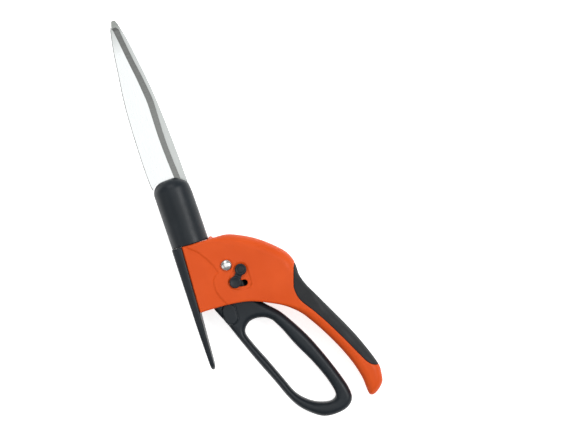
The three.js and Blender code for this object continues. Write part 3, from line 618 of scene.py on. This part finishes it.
def shell_ribs(s):
    """What stands inside the shells: the swivel's rib, the detent's boss, posts and the spring's seat."""
    rib = box_field(s, [7.6, -10.7, -10.3], [10, 12.4, 10.3])
    detent = np.maximum(np.hypot(s.y, s.z - DETENT_REACH) - 3, span(s.x, 7.6, 15.2))
    gap = LOOP_HALF + LOOP_PLAY
    below = np.maximum(disc(s.x, s.y, PIVOT, 7.4) + np.maximum(0, s.z + gap), s.z + gap)
    above = np.maximum(disc(s.x, s.y, PIVOT, 5.4), gap - s.z)
    posts = np.minimum(disc(s.x, s.y, SCREWS[0], 3.4), disc(s.x, s.y, SCREWS[1], 3.4)) + 0 * s.z
    ribs = [rib, detent, below, above, posts, spring_shelf(s)]
    for x in SKID_SCREWS_X:
        ribs.append(np.maximum(np.hypot(s.x - x, s.z - SKID_SCREW_Z) - 3, span(s.y, SHELL_BOTTOM, -7.3)))
    return minimum_of(ribs)


def shell_bores(s):
    """Every hole that goes through the shells' walls and ribs."""
    axis = np.hypot(s.y, s.z)
    bores = [
        disc(s.x, s.y, PIVOT, 3.3) + 0 * s.z,
        np.maximum(axis - 7.5, s.x - 4.4),
        np.maximum(axis - 6.5, span(s.x, 6.6, 13.4)),
        np.maximum(np.hypot(s.y, s.z - DETENT_REACH) - 1.8, span(s.x, 6.6, 13.6)),
    ]
    bores += [np.maximum(disc(s.x, s.y, at, SHANK_HOLE), s.z - 9) for at in SCREWS]
    for x in SKID_SCREWS_X:
        bores.append(np.maximum(np.hypot(s.x - x, s.z - SKID_SCREW_Z) - SHANK_HOLE, s.y + 7.9))
    return minimum_of(bores)


def housing_rim(s):
    """The low rim over the collar, where the housing stands higher than the collar does."""
    ring = np.abs(np.hypot(s.y, s.z) - 16.3) - 1.0
    return both(both(ring, span(s.x, -0.5, 5)), both(14.8 - s.y, np.abs(s.z) - 11), 1.2)


def housing_field(s, skin):
    inside = HALF - WALL
    hollow = slab(inside_outline(BODY_HOLLOW, s.x, s.y), s.z, inside, 1.5)
    in_foot = s.y < -5.6  # where the hollow is narrower
    hollow = np.maximum(hollow, np.where(in_foot, np.abs(s.z) - inside + 2, -99))
    grip = inside_outline(GRIP_SIDE, s.x, s.y)
    outside = either(np.minimum(skin, lower_box(s)), housing_rim(s), 1.5)
    body = without(without(outside, hollow), grip, 0.5)
    body = np.minimum(body, np.maximum(shell_ribs(s), np.minimum(skin, lower_box(s)) + 1))
    return without(body, shell_bores(s), 0.3)


def left_features(s, body):
    """The left shell's own cuts: the sunk fan, the lock's slot and bore, and the pivot pin's seat."""
    body = without(body, both(lock_fan(s), HALF - 0.7 - s.z, 0.5), 0.5)
    body = without(body, both(lock_slot(s), 8 - s.z, 0.5), 0.5)
    body = without(body, np.maximum(disc(s.x, s.y, LOCK_PIVOT, 2.3), 8 - s.z), 0.3)
    return without(body, both(disc(s.x, s.y, PIVOT, 4.7), HALF - 0.3 - s.z, 0.3), 0.3)


def right_features(s, body):
    """The right shell's own cuts: the nut's pocket and the screws' wells."""
    body = without(body, np.maximum(hexagon(s.x, s.y, PIVOT, 5.1), s.z + 12.4), 0.3)
    for at, depth in zip(SCREWS, SCREW_SKINS):
        body = without(body, np.maximum(disc(s.x, s.y, at, SCREW_WELL), s.z + depth - 2.8), 0.4)
    return body


def make_housing():
    s = Space([-0.6, -13, -HALF], [154, 114, HALF], 0.45)
    skin = handle_skin(s)
    body = housing_field(s, skin)
    left = both(left_features(s, body), PARTING - s.z, 0.6)
    right = both(right_features(s, body), PARTING + s.z, 0.6)
    for end, shell in (("left", left), ("right", right)):
        piece = surface(f"housing_shell_{end}", s, shell, keep=0.35)
        finish_piece(piece, "orange_plastic", "housing", f"housing_{end}")
    soft = both(skin, inside_outline(GRIP_SIDE, s.x, s.y), 0.6)
    finish_piece(surface("soft_grip", s, soft, keep=0.5), "grip_rubber", "housing", "grip_insert")


def make_skid():
    s = Space([1, -16, -HALF], [100, -6, HALF], 0.45)
    side = inside_outline(SKID_SIDE, s.x, s.y)
    plan = inside_outline(SKID_PLAN, s.x, s.z)
    corner, bottom = 6.0, -15
    beside = np.maximum(np.abs(s.z) - HALF + corner, 0)
    below = np.maximum(-(s.y - bottom) + corner, 0)
    section = np.hypot(beside, below) - corner
    body = both(both(side + 0 * s.z, plan, 1.6), np.maximum(section, np.abs(s.z) - HALF), 1.0)
    pocket = np.maximum(np.maximum(span(s.x, -9, 51.3), -12.2 - s.y), np.abs(s.z) - 12.8)
    body = without(body, pocket, 0.5)
    for x in SKID_SCREWS_X:
        reach = np.hypot(s.x - x, s.z - SKID_SCREW_Z)
        body = without(body, np.maximum(reach - SCREW_WELL, s.y + 13.4), 0.4)
        body = without(body, reach - SHANK_HOLE, 0.3)
    finish_piece(surface("skid", s, body, keep=0.5), "black_plastic", "housing", "skid_plate")


# ---------- lower handle ----------


def make_lower_handle():
    s = Space([15, 2, -10], [158, 86, 10], 0.5)
    outer = inside_outline(LOOP_OUTER, s.x, s.y)
    inner = inside_outline(LOOP_INNER, s.x, s.y)
    side = np.maximum(outer, -inner)
    thin = step_between(70, 90, s.x) * step_between(6, -6, s.y - 36 - 0.42 * (s.x - 108))
    radius = mix(4.4, 3.05, thin)
    body = slab(side, s.z, LOOP_HALF, radius, 5.0)
    pad_side = strip(s.x, s.y, [58, 13.8], [64.2, 13.8], 5.2)
    body = without(body, np.maximum(np.abs(pad_side - 0.3) - 0.35, 7.9 - np.abs(s.z)), 0.5)
    body = np.minimum(body, slab(pad_side, s.z, LOOP_HALF + 0.8, 0.8))
    slot = box_field(s, [5, -20, -2.3], [48.4, 60, 2.3])
    along, across = spring_axes(s)
    seat = np.maximum(np.hypot(across, s.z) - 5.7, -0.9 - along)
    bores = [slot, seat, disc(s.x, s.y, PIVOT, 4.6) + 0 * s.z]
    for at in ARM_RIVETS:
        bores.append(np.maximum(disc(s.x, s.y, at, 3.1), 5.4 - np.abs(s.z)))
        bores.append(disc(s.x, s.y, at, 1.8) + 0 * s.z)
    body = without(body, minimum_of(bores), 0.4)
    finish_piece(surface("finger_loop", s, body, keep=0.4), "black_plastic", "lower_handle", "lower_handle")


# ---------- head ----------


def make_collar():
    s = Space([-52.6, -HALF - 2, -HALF], [COLLAR_BACK, HALF, HALF], 0.36)
    level = s.y - COLLAR_DROOP * s.x
    across = np.hypot(level, s.z) - HALF + COLLAR_CORNER
    ahead = COLLAR_FRONT - 0.06 * level + COLLAR_CORNER - s.x
    outside = np.hypot(np.maximum(across, 0), np.maximum(ahead, 0))
    body = np.minimum(np.maximum(across, ahead), 0) + outside - COLLAR_CORNER
    body = both(body, s.x - COLLAR_BACK - COLLAR_REACH, 0.2)
    body = both(body, inside_outline(COLLAR_SLOPE, s.x, s.y), 1.8)
    axis = np.hypot(s.y, s.z)
    under = inside_outline(COLLAR_SLOPE + [1.1, -1.7], s.x, s.y)
    bore = np.maximum(np.maximum(axis - 12.3, -46.5 - s.x), under)
    mouth = box_field(s, [-60, -11.2, -BLADE_SPACE], [-44, 20, BLADE_SPACE])
    top_slot = box_field(s, [-50, 0, -BLADE_SPACE], [-26, 20, 0.05])
    body = without(body, minimum_of([bore, mouth, top_slot]), 0.5)
    at_screw = np.hypot(s.x - COLLAR_SCREW_X, s.y)
    body = without(body, np.maximum(at_screw - SCREW_WELL, s.z + 12.8), 0.4)
    body = without(body, np.maximum(at_screw - SHANK_HOLE, s.z), 0.3)
    finish_piece(surface("swivel_collar", s, body, keep=0.5), "black_plastic", "head", "collar_sleeve")


def hole_ring(at, radius, stretch=None):
    """The rim of a round hole, or of a slot when it is stretched to a second point."""
    ends = np.array([at, at if stretch is None else stretch], float)
    way = ends[1] - ends[0]
    turn = math.atan2(way[1], way[0]) + math.pi / 2
    starts = (turn, turn + math.pi)
    return np.vstack([arc(end, radius, a, a + math.pi, 20)[:-1] for end, a in zip(ends, starts)])


def prism_mesh(name, levels, bands=(), holes=()):
    """A closed solid through outlines of equally many points, given as (z, points) from the bottom up.

    Each band is (level, first point, last point) of side faces that take the second material.
    """
    shape = bmesh.new()

    def add_ring(height, ring):
        return [shape.verts.new(place([x, y, height])) for x, y in ring]

    def join_rings(low, high):
        pairs = zip(low, low[1:] + low[:1], high[1:] + high[:1], high)
        return [shape.faces.new(corners) for corners in pairs]

    rings = [add_ring(*level) for level in levels]
    for level, (low, high) in enumerate(zip(rings, rings[1:])):
        for i, face in enumerate(join_rings(low, high)):
            face.material_index = int(any(level == band[0] and band[1] <= i < band[2] for band in bands))
    bores = [[add_ring(height, hole) for height in (levels[0][0], levels[-1][0])] for hole in holes]
    for low, high in bores:
        join_rings(low, high)
    for end in (0, -1):
        loops = [rings[end], *(bore[end] for bore in bores)]
        corners = [corner for loop in loops for corner in loop]
        for triangle in tessellate_polygon([[corner.co for corner in loop] for loop in loops]):
            shape.faces.new([corners[i] for i in triangle])
    bmesh.ops.recalc_face_normals(shape, faces=shape.faces)
    mesh = bpy.data.meshes.new(name)
    shape.to_mesh(mesh)
    shape.free()
    return show(name, mesh)


BLADE_THICK = 2.2
BLADE_FACE = 0.15  # half the gap between the two blades


def make_fixed_blade():
    edge = smooth([[-173, -5], [-164, -3.8], [-148, -1.2], [-132, 1.8], [-116, 4.2], [-108, 4.6], [-85, 4.6],
                   [-68, 5.6], [-49.6, 7.3]], 8)
    grind = smooth([[-172.4, -9.4], [-164, -8], [-148, -5.5], [-132, -2.8], [-116, -0.7], [-108, -0.2],
                    [-85, 0.2], [-68, 1.3], [-49.6, 3]], 8)
    shank = np.array([[-47.4, 5.2], [-42, 7.2], [-26, 7.6], [-21, 5.4], [-21, -6], [-24.4, -9], [-48, -9.8]])
    heel = smooth([[-50.9, -10.4], [-50.4, -12.2], [-48.4, -14.6], [-46.4, -15.7]], 4)
    spine = smooth([[-50, -16.5], [-58, -17.2], [-75, -17.8], [-100, -18], [-120, -17.4], [-140, -15.6],
                    [-158, -14], [-173, -11.8]], 6)
    tip = np.array([[-176, -10.8], [-175.4, -6.8]])
    ground_tip = np.array([[-176, -10.8], [-175, -10.4]])
    low = np.vstack([edge, shank, heel, spine, tip])
    high = np.vstack([grind, shank, heel, spine, ground_tip])
    middle = mix(low, high, 0.5)
    first, last = len(edge) + len(shank) + len(heel) - 1, len(low) - 2
    inset = high.copy()
    inset[first : last + 1, 1] += SPINE_CHAMFER
    top = BLADE_FACE + BLADE_THICK
    levels = [(BLADE_FACE, low), (BLADE_FACE + 0.4, low), (BLADE_FACE + 1.15, middle),
              (top - 0.3, mix(middle, high, 0.9)), (top, inset)]
    levels[3][1][len(edge):] = high[len(edge):]
    # these bands take the second material, the ground steel painted dark as shade
    bands = [(level, *run) for level in (1, 2, 3) for run in ((0, len(edge)), (len(low) - 1, len(low)))]
    bands.append((3, first, last))
    holes = [hole_ring(BLADE_PIVOT, 2.7), *(hole_ring(at, SHANK_HOLE) for at in TANG_SCREWS)]
    piece = prism_mesh("lower_blade", levels, bands, holes)
    piece.data.materials.append(BLADE)
    piece.data.materials.append(SHADED_GRIND)
    finish_piece(piece, "blade_steel", "head", "fixed_blade")


def make_moving_blade():
    spine = smooth([[-181, -6.2], [-176, -4.3], [-164, -1.2], [-146, 2], [-128, 5], [-110, 7.2],
                    [-85, 9.4], [-64, 10.8], [-48, 11.6]], 6)
    spine = np.vstack([[[-181, -9.1]], spine])
    lobe = np.array([[-43, 11.8], [-38, 12], [-33, 11.2], [-29.4, 8.2], [-28, 4], [-28.2, -7], [-29.6, -10],
                     [-32.6, -11], [-35.4, -10.2], [-37, -8]])
    edge = smooth([[-48, -8.4], [-66, -8.6], [-90, -8.2], [-118, -8.2], [-144, -9.2], [-166, -10.4],
                   [-177, -10.2]], 8)
    grind = smooth([[-48, -4.4], [-66, -4.6], [-90, -4.2], [-118, -4.2], [-144, -5.4], [-166, -7.4],
                    [-176, -7.8]], 8)
    low = np.vstack([edge, spine, lobe])
    high = np.vstack([grind, spine, lobe])
    far = -BLADE_FACE - BLADE_THICK
    levels = [(far, high), (-BLADE_FACE - 0.4, low), (-BLADE_FACE, low)]
    way = (BLADE_PIN - BLADE_PIVOT) / np.hypot(*(BLADE_PIN - BLADE_PIVOT))
    holes = [hole_ring(BLADE_PIVOT, 2.7), hole_ring(BLADE_PIN - 0.8 * way, 1.9, BLADE_PIN + 0.3 * way)]
    piece = prism_mesh("upper_blade", levels, [(0, 0, len(edge) - 1)], holes)
    # the upper blade's faces take the darker steel, painted shade
    piece.data.materials.append(SHADED_BLADE_STEEL)
    piece.data.materials.append(SHADED_GRIND)
    finish_piece(piece, "blade_steel", "moving_blade", "moving_blade")


# ---------- small pieces ----------


def lathe(name, profile, at, steps=48):
    """A turned piece about +Z through a point. Its profile holds [radius, height] pairs."""
    shape = bmesh.new()
    rings = []
    for radius, height in profile:
        if radius == 0:
            rings.append([shape.verts.new(place([at[0], at[1], height]))])
            continue
        rings.append([
            shape.verts.new(place([at[0] + radius * math.cos(a), at[1] + radius * math.sin(a), height]))
            for a in np.linspace(0, 2 * math.pi, steps, endpoint=False)
        ])
    for lower, upper in zip(rings, rings[1:]):
        for i in range(steps):
            j = (i + 1) % steps
            corners = [ring[k % len(ring)] for ring, k in ((lower, i), (lower, j), (upper, j), (upper, i))]
            shape.faces.new(list(dict.fromkeys(corners)))
    bmesh.ops.recalc_face_normals(shape, faces=shape.faces)
    mesh = bpy.data.meshes.new(name)
    shape.to_mesh(mesh)
    shape.free()
    shade_smooth(mesh)
    return show(name, mesh)


def make_rivet():
    end, shank = -13.8, 3
    top, foot = HALF + 2.75, HALF - 0.2
    radius = 4.3
    dome = [[radius * math.cos(t) ** 0.8, foot + 0.7 + (top - foot - 0.7) * math.sin(t)]
            for t in np.linspace(0, math.pi / 2, 14)[:-1]]
    stem = [[0, end], [shank, end], [shank, foot]]
    profile = [*stem, [radius - 0.15, foot], [radius, foot + 0.2], *dome, [0, top]]
    finish_piece(lathe("pivot_dome", profile, PIVOT), "chrome", "housing", "pivot_rivet")


def make_lock():
    s = Space([25, 19, 9], [44, 37, 17.4], 0.22)
    foot = HALF - 0.45
    neck = both(strip(s.x, s.y, LOCK_PIVOT, THUMB, 2.7), span(s.z, foot, 16.1), 0.7)
    pivot = both(disc(s.x, s.y, LOCK_PIVOT, LOCK_DISC), span(s.z, foot, 16.8), 1.2)
    pivot = without(pivot, both(np.abs(disc(s.x, s.y, LOCK_PIVOT, 2.7)) - 0.3, 16.4 - s.z, 0.2), 0.3)
    dish = np.sqrt((s.x - THUMB[0]) ** 2 + (s.y - THUMB[1]) ** 2 + (s.z - 25.5) ** 2) - 9.2
    thumb = both(disc(s.x, s.y, THUMB, LOCK_DISC), span(s.z, foot, 17.2), 1.2)
    thumb = without(thumb, dish, 0.5)
    body = either(either(neck, pivot, 0.8), thumb, 0.8)
    stems = np.minimum(
        np.maximum(disc(s.x, s.y, LOCK_PIVOT, 2.0), span(s.z, 11.9, 15)),
        np.maximum(disc(s.x, s.y, THUMB, 1.9), span(s.z, 9.4, 15)),
    )
    body = np.minimum(body, stems)
    finish_piece(surface("lock_toggle", s, body, 1, 0.5), "black_plastic", "lock", "lock_lever")


def make_spring():
    way = spring_way()
    turns, radius, wire = 6.5, 4.4, 0.6
    steps = 220
    side = np.array([-way[1], way[0], 0])
    path = []
    for i in range(steps + 1):
        t = i / steps
        angle = 2 * math.pi * turns * t
        centre_line = np.array([*(SPRING_FOOT + way * SPRING_LENGTH * t), 0])
        spoke = math.cos(angle) * side + math.sin(angle) * np.array([0, 0, 1])
        path.append(centre_line + radius * spoke)
    curve = bpy.data.curves.new("handle_spring", "CURVE")
    curve.dimensions = "3D"
    curve.bevel_depth = wire * MM
    curve.bevel_resolution = 3
    curve.use_fill_caps = True
    line = curve.splines.new("POLY")
    line.points.add(steps)
    for point, at in zip(line.points, path):
        point.co = (*place(at), 1)
    wound = bpy.data.objects.new("handle_spring", curve)
    bpy.context.scene.collection.objects.link(wound)
    graph = bpy.context.evaluated_depsgraph_get()
    mesh = bpy.data.meshes.new_from_object(wound.evaluated_get(graph))
    bpy.data.objects.remove(wound)
    piece = show("handle_spring", mesh)
    shade_smooth(mesh)
    mesh.materials.clear()
    mesh.materials.append(ZINC)
    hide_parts("return_spring")
    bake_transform(piece)


def screw_field(s, head, shank, thick, tip):
    """A pan-head screw on the z axis with its head's top at z = 0 and its tip at z = -tip."""
    reach = np.hypot(s.x, s.y)
    top = both(both(reach - head, s.z, 0.8), -thick - s.z, 0.2)
    dome = np.sqrt(s.x**2 + s.y**2 + (s.z + 2.2 * head) ** 2) - 2.2 * head
    top = both(top, dome, 0.1)
    cross = np.minimum(
        both(np.abs(s.x) - 0.38, np.abs(s.y) - 1.5, 0.2), both(np.abs(s.y) - 0.38, np.abs(s.x) - 1.5, 0.2)
    )
    top = without(top, both(cross + 0 * s.z, -1.2 - s.z, 0.2), 0.15)
    stem = np.maximum(reach - shank, np.maximum(s.z + thick - 0.2, -tip - s.z))
    return np.minimum(top, stem)


def make_screws():
    tip = 6
    s = Space([-2.6, -2.6, -tip], [2.6, 2.6, 0], 0.13)
    field = screw_field(s, head=2.5, shank=1.35, thick=1.7, tip=tip)
    pattern = surface("screw_pattern", s, field, relax=1)
    local = [v.co / MM - Vector(ORIGIN) for v in pattern.data.vertices]
    faces = [tuple(f.vertices) for f in pattern.data.polygons]
    bpy.data.objects.remove(pattern)
    down = Matrix.Rotation(math.pi, 3, "X")
    forward = Matrix.Rotation(math.pi / 2, 3, "X")
    spots = []
    for i, (at, depth) in enumerate(zip(SCREWS, SCREW_HEADS), 1):
        spots.append((f"shell_screw_{i}", f"housing_screw_{i}", "housing", [*at, -depth], down))
    for end, x in zip(("front", "rear"), SKID_SCREWS_X):
        bottom = -14.9 + SKID_SLOPE * (x - 5)
        at = [x, bottom + 0.6, SKID_SCREW_Z]
        spots.append((f"sole_screw_{end}", f"skid_screw_{end}", "housing", at, forward))
    spots.append(("collar_screw", "sleeve_screw", "head", [COLLAR_SCREW_X, 0, -14.2], down))
    for i, (name, node, body, at, turn) in enumerate(spots):
        spin = Matrix.Rotation(0.7 + 0.9 * i, 3, "Z")
        mesh = bpy.data.meshes.new(name)
        mesh.from_pydata([tuple(place(Vector(at) + turn @ spin @ p)) for p in local], [], faces)
        mesh.update()
        shade_smooth(mesh)
        finish_piece(show(name, mesh), "zinc_steel", body, node)


def dress_cad_nodes():
    """Every CAD node that still shows gets the material of its slot."""
    for part in frame["record"]["subparts"]:
        node = frame["nodes"][part["node"]]
        node.data.materials.clear()
        node.data.materials.append(SLOT_MATERIALS[part["material_slot"]])


# ---------- stage ----------


def make_stage():
    bpy.ops.mesh.primitive_plane_add(size=6, location=(0, 0, 0))
    floor = bpy.context.object
    floor.name = "floor"
    material, tree, shader = node_tree("pale_floor")
    tree.links.new(colour_between(tree, noise(tree, 4), (0.86, 0.86, 0.86), (0.88, 0.88, 0.88)),
                   shader.inputs["Base Color"])
    shader.inputs["Roughness"].default_value = 0.9
    shader.inputs["Emission Color"].default_value = (1, 1, 1, 1)
    shader.inputs["Emission Strength"].default_value = 0.75
    floor.data.materials.append(material)


def area_light(name, at, target, size, power):
    data = bpy.data.lights.new(name, "AREA")
    data.shape = "DISK"
    data.size = size
    data.energy = power
    light = bpy.data.objects.new(name, data)
    bpy.context.scene.collection.objects.link(light)
    light.location = at
    light.rotation_euler = (Vector(target) - Vector(at)).to_track_quat("-Z", "Y").to_euler()


def make_lights():
    world = bpy.data.worlds.new("studio")
    world.use_nodes = True
    world.node_tree.nodes["Background"].inputs["Color"].default_value = (1, 1, 1, 1)
    world.node_tree.nodes["Background"].inputs["Strength"].default_value = 0.32
    bpy.context.scene.world = world
    area_light("key", (0.10, 0.95, 1.30), (0, 0, 0), 0.7, 13.5)
    area_light("overhead", (-0.1, -0.1, 1.8), (0, 0, 0), 1.2, 5)
    area_light("front", (-1.0, -0.1, 1.0), (0, 0, 0), 0.8, 5)
    area_light("fill", (0.2, -1.1, 0.9), (0, 0, 0), 0.8, 2.5)


bpy.context.scene.view_settings.view_transform = "Standard"
make_stage()
make_lights()
dress_cad_nodes()
make_housing()
make_skid()
make_lower_handle()
make_collar()
make_fixed_blade()
make_moving_blade()
make_rivet()
make_lock()
make_spring()
make_screws()
